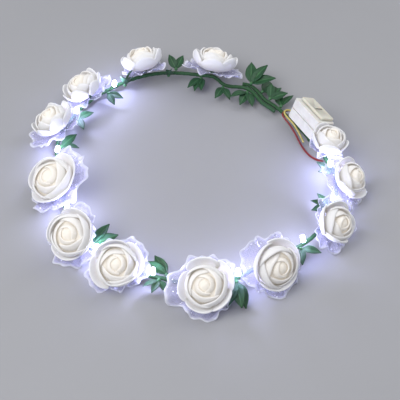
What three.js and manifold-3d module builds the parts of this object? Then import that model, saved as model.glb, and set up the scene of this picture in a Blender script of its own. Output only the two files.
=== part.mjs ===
// A light-up flower crown lying on a table: twelve foam roses with clear film ruffles, ten small lights
// and leaf sprigs on one green wrapped stem that goes round the head, and a battery case with two leads.
// Millimetres, +Z up. Angles are degrees counter-clockwise from +X, seen from above the ring.
import * as THREE from 'three';
import { mergeVertices } from 'three/addons/utils/BufferGeometryUtils.js';
import Module from 'manifold-3d';

const wasm = await Module();
wasm.setup();

const GAP = 0.3; // clearance between pieces that meet
const MERGE_DISTANCE = 1e-4; // corners closer than this are one corner
const UP = new THREE.Vector3(0, 0, 1);

// The stem's two ends lap side by side at the back, each pushed lapOffset off the middle of the lap
const STEM = {
  radius: 1.25, sides: 8, steps: 72,
  startAngle: 44, endAngle: 426, lapOffset: 1.8, lapBlend: 12,
};

// Each rose stands on the stem at angle and radius, and faces the azimuth facing, lifted by rise;
// rose and ruffle are the radii of its petals and of the film behind them, and lift is how far the
// flower is held above the height at which its film rests on the table
const FLOWERS = [
  { angle: 80.6, radius: 89.6, facing: 68, rise: 58, rose: 17.0, ruffle: 20.0, lift: 0 },
  { angle: 108.9, radius: 94.8, facing: 116, rise: 58, rose: 16.0, ruffle: 14.0, lift: 2.7 },
  { angle: 135.3, radius: 93.6, facing: 158, rise: 58, rose: 15.5, ruffle: 16.0, lift: 1.4 },
  { angle: 158.1, radius: 90.3, facing: 159, rise: 57, rose: 15.4, ruffle: 18.0, lift: 0 },
  { angle: 190.1, radius: 80.8, facing: 196, rise: 60, rose: 17.0, ruffle: 20.4, lift: 0 },
  { angle: 220.4, radius: 85.9, facing: 235, rise: 52, rose: 15.6, ruffle: 17.4, lift: 0 },
  { angle: 242.2, radius: 86.9, facing: 262, rise: 64, rose: 15.8, ruffle: 17.0, lift: 0.7 },
  { angle: 277.2, radius: 92.9, facing: 254, rise: 59, rose: 16.2, ruffle: 18.6, lift: 0 },
  { angle: 300.2, radius: 90.6, facing: 302, rise: 40, rose: 15.8, ruffle: 17.8, lift: 0 },
  { angle: 329.3, radius: 94.8, facing: 326, rise: 43, rose: 13.4, ruffle: 17.0, lift: 0 },
  { angle: 351.2, radius: 94.0, facing: 346, rise: 46, rose: 13.6, ruffle: 16.5, lift: 0 },
  { angle: 367.5, radius: 87.0, facing: 20, rise: 74, rose: 12.8, ruffle: 10.5, lift: 11.6 },
];

// Each next flower is turned by flower degrees about its own axis, and its film by ruffle more
const TURN = { flower: 137, ruffle: 90 };

// Places that the stem also passes: round the leafy knot, the front left gap, and under the battery case
const STEM_PASSES = [
  { angle: 50, radius: 81.6, height: 4.6 },
  { angle: 63.5, radius: 88.4, height: 5.0 },
  { angle: 73, radius: 84.8, height: 5.0 },
  { angle: 258.5, radius: 86.5, height: 5.0 },
  { angle: 380, radius: 83.5, height: 5.2 },
  { angle: 392, radius: 82.5, height: 4.8 },
  { angle: 402, radius: 81.5, height: 4.2 },
];

// A rose's rings from its post up to the bud, for petals of radius 15: swing and lift are the lobes' reach
const ROSE = { radius: 15, postHeight: 4.2, petals: 5, segments: 20 };
const ROSE_RINGS = [
  { name: 'post axis', radius: 0, height: 1.6, swing: 0, lift: 0, turn: 0 },
  { name: 'post foot', radius: 1.0, height: 1.6, swing: 0, lift: 0, turn: 0 },
  { name: 'post top', radius: 1.4, height: ROSE.postHeight, swing: 0, lift: 0, turn: 0 },
  { name: 'cup, underside', radius: 7.5, height: 5.6, swing: 0, lift: 0, turn: 0 },
  { name: 'cup, side', radius: 12.2, height: 9.2, swing: 0.6, lift: 0, turn: 0 },
  { name: 'outer petals, rim', radius: 14.2, height: 13.0, swing: 0.9, lift: -0.6, turn: 0 },
  { name: 'outer petals, lip', radius: 13.4, height: 14.4, swing: 0.9, lift: -0.6, turn: 0 },
  { name: 'outer groove', radius: 9.6, height: 12.8, swing: 0, lift: 0, turn: 0 },
  { name: 'inner petals, rim', radius: 10.4, height: 16.4, swing: 0.6, lift: -0.4, turn: 180 },
  { name: 'inner petals, lip', radius: 9.3, height: 17.4, swing: 0.6, lift: -0.4, turn: 180 },
  { name: 'inner groove', radius: 5.6, height: 15.4, swing: 0, lift: 0, turn: 0 },
  { name: 'bud shoulder', radius: 5.2, height: 18.6, swing: 0.5, lift: 0.3, turn: 90 },
  { name: 'bud tip', radius: 0, height: 19.4, swing: 0, lift: 0, turn: 0 },
];

// A ruffle is a shallow wavy cone of film round the rose's post, with a hole that the post passes
const RUFFLE = {
  hole: 1.8, holeHeight: 2.4, rimHeight: 5.6, wall: 1.0,
  waves: 5, swing: 0.8, lift: 1.3, segments: 15,
};

// The lights stand on the stem and lean in over the ring
const LED = {
  radius: 1.5, barrel: 3.4, shoulderRadius: 1.0, shoulder: 4.65, length: 5.0,
  lean: 14, standOff: 0.6, segments: 8,
};
const LED_ANGLES = [359.5, 123.8, 146.0, 170.0, 205.2, 230.5, 256.1, 288.6, 317.3, 342.0];

// Each sprig grows from one side of the stem (0 out, 90 up, 180 in) and fans its leaves about yaw,
// which counts from straight out, at the elevation pitch
const LEAF = {
  rootWidth: 0.8, width: 5.2, tipWidth: 0.3, widest: 0.42,
  thickness: 1.0, fold: 0.28, droop: 0.014,
};
const SPRIG_KNOT = 1.2;
const SPRIGS = [
  { angle: 357, side: 180, yaw: 185, spread: 44, pitch: 48, leaves: 2, length: 11.5 },
  { angle: 410, side: 60, yaw: 1, spread: 64, pitch: 20, leaves: 3, length: 12.5 },
  { angle: 422, side: 90, yaw: -18, spread: 75, pitch: 29, leaves: 3, length: 17 },
  { angle: 62, side: 190, yaw: 186, spread: 76, pitch: 12, leaves: 3, length: 13.5 },
  { angle: 85, side: 190, yaw: 165, spread: 50, pitch: 6, leaves: 3, length: 12.5 },
  { angle: 96, side: 60, yaw: -8, spread: 40, pitch: 30, leaves: 2, length: 12 },
  { angle: 119.3, side: 180, yaw: 180, spread: 110, pitch: 74, leaves: 3, length: 13.5 },
  { angle: 99.5, side: 175, yaw: 185, spread: 50, pitch: 72, leaves: 2, length: 12 },
  { angle: 128, side: 180, yaw: 190, spread: 44, pitch: 2, leaves: 2, length: 11 },
  { angle: 148, side: 185, yaw: 194, spread: 100, pitch: 8, leaves: 2, length: 12 },
  { angle: 166, side: 180, yaw: 206, spread: 60, pitch: 20, leaves: 2, length: 13 },
  { angle: 227.6, side: 150, yaw: 172, spread: 32, pitch: 26, leaves: 2, length: 15.5 },
  { angle: 261.5, side: 150, yaw: 230, spread: 30, pitch: 25, leaves: 2, length: 14 },
  { angle: 259, side: 20, yaw: -10, spread: 100, pitch: 8, leaves: 3, length: 10 },
  { angle: 287.2, side: 20, yaw: -14.2, spread: 46, pitch: -6, leaves: 3, length: 16.5 },
  { angle: 314.4, side: 20, yaw: -6, spread: 75, pitch: 11, leaves: 2, length: 12 },
  { angle: 338.5, side: 170, yaw: 180, spread: 75, pitch: 16, leaves: 3, length: 11 },
  { angle: 416, side: 10, yaw: -18, spread: 40, pitch: -4, leaves: 2, length: 15 },
  { angle: 404, side: 10, yaw: 28, spread: 44, pitch: 10, leaves: 2, length: 13 },
  { angle: 74, side: 190, yaw: 196, spread: 44, pitch: 6, leaves: 2, length: 12 },
];

// The battery case leans outwards on the stem; corner is its inner lower corner at the leafy end, and
// its length runs from there towards the last rose
const CASE = {
  corner: new THREE.Vector3(65.3, 47.9, 7.9),
  yaw: -65.5, pitch: 8.5, roll: -25.4,
  length: 31, width: 14, baseHeight: 6.8, topHeight: 6.8, cornerRadius: 2.0, bevel: 0.5,
};
const LID = {
  fromEnd: 2.0, fromSide: 3.4,
  length: 27, width: 10.0, height: 1.8, cornerRadius: 1.4, bevel: 0.4,
};
const SLOT = { along: 17, across: 8.2, length: 5.8, width: 1.1, depth: 0.8, turn: 93 };
const CORNER_STEPS = 2; // flats in each rounded corner of the case and its lid

// The leads leave the case's leafy end and turn back below its inner edge, where the yellow one ends; the
// red one runs on to the stem
const LEAD = { radius: 0.6, sides: 8, steps: 20 };
const YELLOW_ROUTE = [
  [68.7, 50.1, 9.2], [67.6, 51.3, 9.0], [66.0, 51.8, 8.9], [64.3, 51.3, 9.0], [63.4, 49.7, 9.0],
  [64.0, 47.5, 8.5], [65.9, 44.6, 8.0], [68.3, 41.3, 7.5], [70.2, 37.6, 7.0], [71.9, 33.5, 6.6],
  [73.3, 29.0, 6.3], [74.6, 24.5, 6.2],
];
const RED_ROUTE = [
  [70.6, 50.7, 7.7], [69.5, 52.2, 7.4], [67.4, 53.0, 7.2], [65.0, 52.7, 7.2], [63.0, 51.3, 7.2],
  [62.3, 49.2, 6.9], [63.4, 47.0, 6.1], [66.0, 43.8, 4.6], [68.7, 39.0, 3.4], [70.9, 33.6, 2.4],
  [72.9, 28.0, 1.7], [75.4, 22.3, 1.3], [78.3, 17.3, 1.3], [81.5, 13.6, 1.8], [84.3, 11.0, 2.8],
  [86.4, 9.5, 4.0],
];

const FINISHES = {
  stem: { color: 0x2c5a33, roughness: 0.8 },
  leaf: { color: 0x3d7d48, roughness: 0.6 },
  foam: { color: 0xf6f1ec, roughness: 0.75 },
  film: { color: 0xdfe2f4, roughness: 0.2, transparent: true, opacity: 0.4 },
  light: { color: 0xf3f6ff, roughness: 0.15, emissive: 0xf3f6ff },
  shell: { color: 0xe8e3da, roughness: 0.45 },
  lid: { color: 0xe3d9c2, roughness: 0.45 },
  yellow: { color: 0xd9b53c, roughness: 0.5 },
  red: { color: 0x8c2326, roughness: 0.5 },
};

const radians = THREE.MathUtils.degToRad;

function unitAt(azimuth, elevation) {
  const flat = Math.cos(radians(elevation));
  return new THREE.Vector3(
    flat * Math.cos(radians(azimuth)),
    flat * Math.sin(radians(azimuth)),
    Math.sin(radians(elevation)),
  );
}

// How high a flower's foot is: with no lift, the low edge of its ruffle rests on the table
function footHeight(flower) {
  const low = flower.ruffle + RUFFLE.swing;
  const resting = low * Math.cos(radians(flower.rise)) - RUFFLE.rimHeight * Math.sin(radians(flower.rise));
  return resting + flower.lift;
}

const stemRows = [
  ...FLOWERS.map((flower) => ({ angle: flower.angle, radius: flower.radius, height: footHeight(flower) })),
  ...STEM_PASSES,
].sort((a, b) => a.angle - b.angle);

// How far the lap pushes the stem: its first end in and its last end out
function lapPush(angle) {
  const lapStart = STEM.startAngle + 360;
  const lapEnd = STEM.endAngle - 360;
  const inward = 1 - THREE.MathUtils.smoothstep(angle, lapEnd, lapEnd + STEM.lapBlend);
  const outward = THREE.MathUtils.smoothstep(angle, lapStart - STEM.lapBlend, lapStart);
  return STEM.lapOffset * (outward - inward);
}

// The stem's centreline from its start angle to its end angle, eased from each row to the next
function stemPoint(angle) {
  const first = stemRows[0].angle;
  const turned = THREE.MathUtils.euclideanModulo(angle - first, 360) + first;
  const next = stemRows.findIndex((row) => row.angle > turned);
  const after = next < 0 ? { ...stemRows[0], angle: first + 360 } : stemRows[next];
  const before = next < 0 ? stemRows.at(-1) : stemRows[next - 1];
  const ease = (1 - Math.cos(Math.PI * (turned - before.angle) / (after.angle - before.angle))) / 2;
  const radius = THREE.MathUtils.lerp(before.radius, after.radius, ease) + lapPush(angle);
  const point = unitAt(angle, 0).multiplyScalar(radius);
  point.z = THREE.MathUtils.lerp(before.height, after.height, ease);
  return point;
}

class StemRoute extends THREE.Curve {
  getPoint(t, target = new THREE.Vector3()) {
    return target.copy(stemPoint(THREE.MathUtils.lerp(STEM.startAngle, STEM.endAngle, t)));
  }
}

function circle(radius, sides) {
  const shape = new THREE.Shape();
  for (let i = 0; i < sides; i += 1) {
    const turn = 2 * Math.PI * i / sides;
    const corner = [radius * Math.cos(turn), radius * Math.sin(turn)];
    if (i === 0) shape.moveTo(...corner);
    else shape.lineTo(...corner);
  }
  shape.closePath();
  return shape;
}

function tube(curve, size) {
  const section = circle(size.radius, size.sides);
  return new THREE.ExtrudeGeometry(section, { steps: size.steps, extrudePath: curve });
}

// A body turned about Z whose rings swell and rise in lobes
function lobedLathe(rings, lobes, segments, phase) {
  const profile = rings.map((ring) => new THREE.Vector2(ring.radius, ring.height));
  const geometry = new THREE.LatheGeometry(profile, segments);
  const points = geometry.getAttribute('position');
  for (let i = 0; i < points.count; i += 1) {
    const ring = rings[i % rings.length];
    const turn = 2 * Math.PI * (Math.floor(i / rings.length) % segments) / segments;
    const wave = Math.cos(lobes * turn + radians(phase + ring.turn));
    const radius = ring.radius + ring.swing * wave;
    points.setXYZ(i, radius * Math.sin(turn), ring.height + ring.lift * wave, radius * Math.cos(turn));
  }
  return geometry.rotateX(Math.PI / 2);
}

function roseGeometry(flower, phase) {
  const scale = flower.rose / ROSE.radius;
  const rings = ROSE_RINGS.map((ring) => ({
    ...ring,
    radius: ring.height > ROSE.postHeight ? ring.radius * scale : ring.radius,
    swing: ring.swing * scale,
  }));
  return lobedLathe(rings, ROSE.petals, ROSE.segments, phase);
}

function ruffleGeometry(flower, phase) {
  const hole = { radius: RUFFLE.hole, swing: 0, lift: 0, turn: 0 };
  const rim = { radius: flower.ruffle, swing: RUFFLE.swing, lift: RUFFLE.lift, turn: 0 };
  const rings = [
    { ...hole, height: RUFFLE.holeHeight },
    { ...rim, height: RUFFLE.rimHeight },
    { ...rim, height: RUFFLE.rimHeight + RUFFLE.wall },
    { ...hole, height: RUFFLE.holeHeight + RUFFLE.wall },
    { ...hole, height: RUFFLE.holeHeight },
  ];
  return lobedLathe(rings, RUFFLE.waves, RUFFLE.segments, phase);
}

function ledGeometry() {
  const profile = [
    new THREE.Vector2(0, 0),
    new THREE.Vector2(LED.radius, 0),
    new THREE.Vector2(LED.radius, LED.barrel),
    new THREE.Vector2(LED.shoulderRadius, LED.shoulder),
    new THREE.Vector2(0, LED.length),
  ];
  return new THREE.LatheGeometry(profile, LED.segments).rotateX(Math.PI / 2);
}

function solidOf(geometry) {
  const bare = geometry.clone();
  bare.deleteAttribute('normal');
  bare.deleteAttribute('uv');
  const merged = mergeVertices(bare, MERGE_DISTANCE);
  return new wasm.Manifold(new wasm.Mesh({
    numProp: 3,
    vertProperties: merged.getAttribute('position').array,
    triVerts: Uint32Array.from(merged.index.array),
  }));
}

function geometryOf(solid) {
  const mesh = solid.getMesh();
  const geometry = new THREE.BufferGeometry();
  geometry.setAttribute('position', new THREE.BufferAttribute(mesh.vertProperties, mesh.numProp));
  geometry.setIndex(new THREE.BufferAttribute(mesh.triVerts, 1));
  return geometry;
}

// A pointed blade along +Y, folded up along its middle and drooping to its tip
function leafGeometry(length) {
  const geometry = new THREE.BoxGeometry(1, 1, LEAF.thickness, 2, 2, 1);
  const points = geometry.getAttribute('position');
  for (let i = 0; i < points.count; i += 1) {
    const row = Math.round(2 * (points.getY(i) + 0.5));
    const along = [0, LEAF.widest, 1][row] * length;
    const across = points.getX(i) * [LEAF.rootWidth, LEAF.width, LEAF.tipWidth][row];
    const height = LEAF.fold * Math.abs(across) - LEAF.droop * along * along;
    points.setXYZ(i, across, along, points.getZ(i) + height);
  }
  return geometry;
}

// The leaves of one sprig joined at a small knot, round the origin and turned to their place on the ring
function sprigGeometry(sprig) {
  let solid = solidOf(new THREE.OctahedronGeometry(SPRIG_KNOT));
  for (let i = 0; i < sprig.leaves; i += 1) {
    const fan = sprig.spread * (i / (sprig.leaves - 1) - 0.5);
    const along = unitAt(sprig.angle + sprig.yaw + fan, sprig.pitch);
    const across = new THREE.Vector3().crossVectors(along, UP).normalize();
    const facing = new THREE.Vector3().crossVectors(across, along);
    const turned = new THREE.Matrix4().makeBasis(across, along, facing);
    solid = solid.add(solidOf(leafGeometry(sprig.length).applyMatrix4(turned)));
  }
  return geometryOf(solid);
}

function roundedRectangle(x, y, length, width, radius) {
  const shape = new THREE.Shape();
  shape.moveTo(x + radius, y);
  shape.lineTo(x + length - radius, y);
  shape.absarc(x + length - radius, y + radius, radius, -Math.PI / 2, 0);
  shape.lineTo(x + length, y + width - radius);
  shape.absarc(x + length - radius, y + width - radius, radius, 0, Math.PI / 2);
  shape.lineTo(x + radius, y + width);
  shape.absarc(x + radius, y + width - radius, radius, Math.PI / 2, Math.PI);
  shape.lineTo(x, y + radius);
  shape.absarc(x + radius, y + radius, radius, Math.PI, 1.5 * Math.PI);
  return shape;
}

// A rounded block whose top and bottom edges are bevelled within its own size
function roundedBlock(outline, height, bevel) {
  const geometry = new THREE.ExtrudeGeometry(outline, {
    depth: height - 2 * bevel, curveSegments: CORNER_STEPS,
    bevelThickness: bevel, bevelSize: bevel, bevelOffset: -bevel, bevelSegments: 1,
  });
  return geometry.translate(0, 0, bevel);
}

function lidGeometry() {
  const outline = roundedRectangle(LID.fromEnd, LID.fromSide, LID.length, LID.width, LID.cornerRadius);
  const block = roundedBlock(outline, LID.height, LID.bevel);
  const cutter = new THREE.BoxGeometry(SLOT.length, SLOT.width, 2 * SLOT.depth)
    .rotateZ(radians(SLOT.turn))
    .translate(SLOT.along, SLOT.across, LID.height);
  return geometryOf(solidOf(block).subtract(solidOf(cutter)));
}

function piece(name, geometry, finish) {
  const mesh = new THREE.Mesh(geometry, new THREE.MeshStandardMaterial({ metalness: 0, ...finish }));
  mesh.name = name;
  return mesh;
}

function numbered(name, index) {
  return `${name}_${String(index + 1).padStart(2, '0')}`;
}

// A group whose own Z axis points along axis, from a point
function standingAt(point, axis) {
  const group = new THREE.Group();
  group.position.copy(point);
  group.quaternion.setFromUnitVectors(UP, axis);
  return group;
}

const ring = new THREE.Group();
ring.add(piece('vine_stem', tube(new StemRoute(), STEM), FINISHES.stem));

FLOWERS.forEach((flower, index) => {
  const group = standingAt(stemPoint(flower.angle), unitAt(flower.facing, flower.rise));
  const phase = TURN.flower * index;
  group.add(piece(numbered('rose', index), roseGeometry(flower, phase), FINISHES.foam));
  group.add(piece(numbered('ruffle', index), ruffleGeometry(flower, phase + TURN.ruffle), FINISHES.film));
  ring.add(group);
});

LED_ANGLES.forEach((angle, index) => {
  const axis = unitAt(angle + 180, 90 - LED.lean);
  const foot = stemPoint(angle).addScaledVector(axis, STEM.radius + LED.standOff);
  const group = standingAt(foot, axis);
  group.add(piece(numbered('led', index), ledGeometry(), FINISHES.light));
  ring.add(group);
});

SPRIGS.forEach((sprig, index) => {
  const mesh = piece(numbered('sprig', index), sprigGeometry(sprig), FINISHES.leaf);
  const away = unitAt(sprig.angle, 0).multiplyScalar(Math.cos(radians(sprig.side)));
  away.addScaledVector(UP, Math.sin(radians(sprig.side)));
  mesh.position.copy(stemPoint(sprig.angle)).addScaledVector(away, STEM.radius + GAP + SPRIG_KNOT);
  ring.add(mesh);
});

const batteryCase = new THREE.Group();
batteryCase.position.copy(CASE.corner);
batteryCase.rotation.set(radians(CASE.roll), radians(-CASE.pitch), radians(CASE.yaw), 'ZYX');
const caseOutline = roundedRectangle(0, 0, CASE.length, CASE.width, CASE.cornerRadius);
const caseBase = piece('case_base', roundedBlock(caseOutline, CASE.baseHeight, CASE.bevel), FINISHES.shell);
const caseTop = piece('case_top', roundedBlock(caseOutline, CASE.topHeight, CASE.bevel), FINISHES.shell);
caseTop.position.z = CASE.baseHeight + GAP;
const caseLid = piece('case_lid', lidGeometry(), FINISHES.lid);
caseLid.position.z = caseTop.position.z + CASE.topHeight + GAP;
batteryCase.add(caseBase, caseTop, caseLid);
ring.add(batteryCase);

function lead(name, route, finish) {
  const curve = new THREE.CatmullRomCurve3(route.map((point) => new THREE.Vector3(...point)));
  return piece(name, tube(curve, LEAD), finish);
}
ring.add(lead('lead_yellow', YELLOW_ROUTE, FINISHES.yellow));
ring.add(lead('lead_red', RED_ROUTE, FINISHES.red));

// The part's origin is the middle of the foot of the whole crown's box
const crown = new THREE.Group();
crown.add(ring);
const extent = new THREE.Box3().setFromObject(crown, true);
const middle = extent.getCenter(new THREE.Vector3());
ring.position.set(-middle.x, -middle.y, -extent.min.z);

export default crown;
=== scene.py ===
"""A light-up flower crown lying on a table: foam roses, clear film, leaves and lights on a taped stem.

Metres, +Z up. Angles are degrees counter-clockwise from +X, seen from above the ring.
"""
import math
import random
from collections import namedtuple

import bmesh
import bpy
from bpy.props import FloatProperty, FloatVectorProperty, IntProperty, PointerProperty
from mathutils import Euler, Matrix, Vector


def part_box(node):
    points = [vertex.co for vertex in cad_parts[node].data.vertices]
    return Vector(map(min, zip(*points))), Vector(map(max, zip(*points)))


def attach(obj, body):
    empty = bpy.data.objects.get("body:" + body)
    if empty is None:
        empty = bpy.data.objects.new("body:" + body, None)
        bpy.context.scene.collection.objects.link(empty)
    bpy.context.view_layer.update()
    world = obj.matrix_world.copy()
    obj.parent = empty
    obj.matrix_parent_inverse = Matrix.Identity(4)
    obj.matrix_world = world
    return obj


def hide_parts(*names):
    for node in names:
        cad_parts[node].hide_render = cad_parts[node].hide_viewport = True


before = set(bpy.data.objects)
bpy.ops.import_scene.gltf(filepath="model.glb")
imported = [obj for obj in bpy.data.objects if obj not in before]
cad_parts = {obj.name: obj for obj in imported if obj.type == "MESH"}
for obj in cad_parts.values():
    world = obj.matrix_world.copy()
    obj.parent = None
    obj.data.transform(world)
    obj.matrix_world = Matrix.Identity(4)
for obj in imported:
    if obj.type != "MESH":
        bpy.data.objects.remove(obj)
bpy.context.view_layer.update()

bl_info = {
    "name": "Light-up flower crown",
    "version": (1, 0, 0),
    "blender": (4, 5, 0),
    "location": "View3D > Sidebar > Crown",
    "description": "Makes the roses, film, leaves, lights, stem and battery case of a flower crown",
    "category": "Add Mesh",
}

UP = Vector((0, 0, 1))
MM = 0.001
SEAM_DISTANCE = 1e-7

# The stem: its two ends lap side by side at the back, each pushed off the middle of the lap. Gap is what it
# leaves to the knot of a sprig.
STEM_RADIUS = 0.00125
STEM_START = 44
STEM_END = 426
STEM_STEPS = 720
STEM_SIDES = 16
STEM_GAP = 0.0003
LAP_OFFSET = 0.0018
LAP_BLEND = 12

# Each flower stands on the stem at angle and radius and faces an azimuth, lifted by rise. Its petals reach
# rose and its film reaches ruffle; lift holds it above the height at which its film rests on the table.
# Outer is how many petals its outermost whorl has. Opening runs from 0, a cup, to 1, wide open, and past
# it, and every other outer petal opens by apart while the rest close by it; bud is how wide its inner
# whorls are; blunt petals are round at 3 and pointed near 1.5; turn swings the petals about the flower's
# axis, and lean tips its bud.
Flower = namedtuple(
    "Flower", "angle radius facing rise rose ruffle lift outer opening apart bud blunt turn lean")
FLOWERS = (
    Flower(80.6, 0.0896, 68, 58, 0.0170, 0.0200, 0, 6, 0.20, 0.20, 1.05, 1.5, 20, 4),
    Flower(108.9, 0.0948, 116, 58, 0.0160, 0.0140, 0.0027, 6, 0.20, 0.20, 1.05, 1.6, 50, 6),
    Flower(135.3, 0.0936, 158, 58, 0.0155, 0.0160, 0.0014, 7, 0.20, 0.20, 1.05, 1.5, 10, 3),
    Flower(158.1, 0.0903, 159, 57, 0.0154, 0.0180, 0, 7, 0.20, 0.20, 1.05, 1.5, 40, 5),
    Flower(190.1, 0.0808, 196, 60, 0.0170, 0.0204, 0, 3, 0.65, 0.40, 1.20, 2.8, 15, 10),
    Flower(220.4, 0.0859, 235, 52, 0.0156, 0.0174, 0, 4, 0.60, 0.20, 1.20, 2.8, 60, 3),
    Flower(242.2, 0.0869, 262, 64, 0.0158, 0.0170, 0.0007, 4, 0.65, 0.60, 1.14, 2.8, 15, 6),
    Flower(277.2, 0.0929, 254, 59, 0.0162, 0.0186, 0, 5, 0.90, 0.10, 1.10, 3.0, 28, 2),
    Flower(300.2, 0.0906, 302, 40, 0.0158, 0.0178, 0, 3, 0.55, 0.20, 1.15, 2.3, 55, 8),
    Flower(329.3, 0.0948, 326, 43, 0.0134, 0.0170, 0, 4, 0.45, 0.30, 1.10, 2.1, 5, 6),
    Flower(351.2, 0.0940, 346, 46, 0.0136, 0.0165, 0, 5, 0.75, 0.20, 1.05, 2.2, 30, 4),
    Flower(367.5, 0.0870, 20, 74, 0.0128, 0.0105, 0.0116, 5, 0.40, 0.20, 1.05, 2.4, 45, 5),
)

# Where each flower's film stands out, or is drawn in: (turn about its axis, share of the film's reach)
FILM_FLAPS = (
    ((15, 0.05), (111, 0.10)),
    ((147, 0.30), (309, 0.30)),
    ((138, 0.25), (51, 0.20)),
    ((183, 0.25), (114, 0.20)),
    ((348, 0.06), (60, 0.18)),
    ((57, 0.10), (243, 0.16), (0, -0.30)),
    ((216, 0.14), (30, 0.14), (275, -0.20)),
    ((180, 0.30), (252, 0.06), (345, -0.26)),
    ((177, 0.14), (312, 0.25)),
    ((39, 0.30), (123, 0.06), (162, -0.30), (210, -0.25)),
    ((198, 0.12), (6, 0.16)),
    ((216, 0.10), (357, 0.10)),
)

# Other places on the stem: round the leafy knot, the front left gap, and under the battery case
StemPass = namedtuple("StemPass", "angle radius height")
STEM_PASSES = (
    StemPass(50, 0.0816, 0.0046),
    StemPass(63.5, 0.0884, 0.0050),
    StemPass(73, 0.0848, 0.0050),
    StemPass(258.5, 0.0865, 0.0050),
    StemPass(380, 0.0835, 0.0052),
    StemPass(392, 0.0825, 0.0048),
    StemPass(402, 0.0815, 0.0042),
)

# The whorls of a rose whose petals reach 15 mm, in millimetres, from the outside in. The outermost has as
# many petals as its flower says and each further in has PETALS_FEWER less, but no fewer than its own
# number. Overlap is a petal's width against its share of the circle; profile runs from the base to the lip
# as (radius, height); rounding is how much of it a petal's sides lose; lean and wrap lift and push one
# edge of a petal over its neighbour, roll curls its edges back, give is how far it follows the flower's
# opening, and the field after give is how much creamy shade and glow are painted on its foam.
ROSE_RADIUS = 0.015
Whorl = namedtuple("Whorl", "petals overlap rounding lean wrap roll give warm profile")
WHORLS = (
    Whorl(3, 1.15, 0.42, 0.8, 0.5, 0.9, 1.0, 0.00,
          ((1.6, 4.5), (8.0, 5.8), (12.3, 8.4), (14.3, 11.4), (15.1, 12.4))),
    Whorl(3, 1.30, 0.36, 0.9, 0.7, 0.4, 0.7, 0.10,
          ((1.5, 5.4), (6.6, 7.4), (9.4, 10.4), (9.9, 13.2), (8.5, 15.4))),
    Whorl(3, 1.30, 0.30, 0.7, 0.6, 0.2, 0.4, 0.30,
          ((1.3, 6.4), (5.4, 8.6), (7.6, 11.4), (7.6, 14.4), (5.6, 17.0))),
    Whorl(2, 1.30, 0.24, 0.5, 0.5, 0.1, 0.2, 0.60,
          ((1.2, 8.0), (3.9, 10.4), (4.9, 13.4), (4.3, 16.6), (2.7, 18.3))),
)
Petal = namedtuple("Petal", "turn half size opening blunt frill phase")
PETALS_FEWER = 2
PETAL_COLUMNS = 17
PETAL_ROWS = 9
WHORL_TURN = 0.9
# A petal has a share of its width at its base and all of it from a share of its length on. Closed, it is
# pulled in by a share and rises. Its lip waves by that many radians from its middle to each side. Towards
# its base a creamy shade and glow are painted on its foam, fading out between two shares of its length.
# A bud leans about a height.
PETAL_BASE_WIDTH = 0.62
PETAL_FULL_WIDTH = 0.6
CLOSED_PULL = 0.15
CLOSED_RISE = 5.0
LIP_WAVE = 4
FOLD_SHADE_AND_GLOW = 0.45
FOLD_SHADE_FADE = (0.15, 0.8)
LEAN_HEIGHT = 6.0
# The limits between which petals differ: turn in radians, frill in millimetres, the others as shares
TURN_RANGE = (-0.12, 0.12)
WIDTH_RANGE = (0.94, 1.06)
SIZE_RANGE = (0.96, 1.04)
BLUNT_RANGE = (0.9, 1.1)
FRILL_RANGE = (0.2, 0.6)
ROSE_SEED = 100
# The closed core that fills a rose behind its petals' lips, as (radius, height), and how much creamy shade
# and glow are painted on it
CORE_PROFILE = (
    (0, 6.0), (6.0, 7.0), (8.4, 10.4), (8.2, 13.2), (6.6, 14.4), (5.0, 15.2), (3.2, 16.4), (2.0, 17.9),
    (0, 18.6))
CORE_SEGMENTS = 24
CORE_SHADE_AND_GLOW = 0.75
POST_PROFILE = ((0, 1.6), (1.0, 1.6), (1.4, 4.2), (2.6, 5.4), (2.9, 6.4), (0, 6.8))
POST_SEGMENTS = 16

# The film behind each rose runs from its hole out to its rim.
# Swing is the room kept past the film's reach where it rests on the table. Pleats and lobes are (count round
# the rim, depth); pleats deepen, and the highlight painted along the rim comes in, as a power of the way
# out. A flap reaches that many degrees to each side, and the higher its power, the sharper its sides.
FILM_HOLE = 0.0018
FILM_HOLE_HEIGHT = 0.0024
FILM_RIM_HEIGHT = 0.0056
FILM_SWING = 0.0008
FILM_COLUMNS = 144
FILM_ROWS = 12
FILM_PLEATS = ((7, 0.0014), (11, 0.0010), (18, 0.0005))
PLEAT_POWER = 1.5
RIM_HIGHLIGHT_POWER = 10
FILM_LOBES = ((5, 0.06), (9, 0.05), (17, 0.035))
FLAP_WIDTH = 34
FLAP_POWER = 4
FLOOR_CLEARANCE = 0.0003
FILM_SEED = 300
# A glitter fleck: its sides, its depth against its radius, its sizes, and its tilt about each axis in radians
FLECK_SIDES = 6
FLECK_DEPTH = 0.2
FLECK_SIZES = (0.5, 1.3)
FLECK_TILT = Vector((0.5, 0.5, 3.0))

# The lights stand on the stem and lean in over the ring. The profile is (radius, height) in millimetres,
# from the taped foot on the stem to the top of the dome.
LED_ANGLES = (359.5, 123.8, 146.0, 170.0, 205.2, 230.5, 256.1, 288.6, 317.3, 342.0)
LED_LEAN = 14
LED_STAND_OFF = 0.0006
LED_FOOT = ((0, -0.6), (1.0, -0.6), (1.4, -0.1), (1.5, 0.2))
LED_DOME = (
    (1.5, 0.3), (1.5, 0.8), (1.35, 0.9), (1.35, 3.3), (1.25, 4.0), (0.95, 4.6), (0.5, 4.92), (0, 5.0))
LED_SEGMENTS = 24
LED_GLOW_HEIGHT = 0.0034

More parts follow.
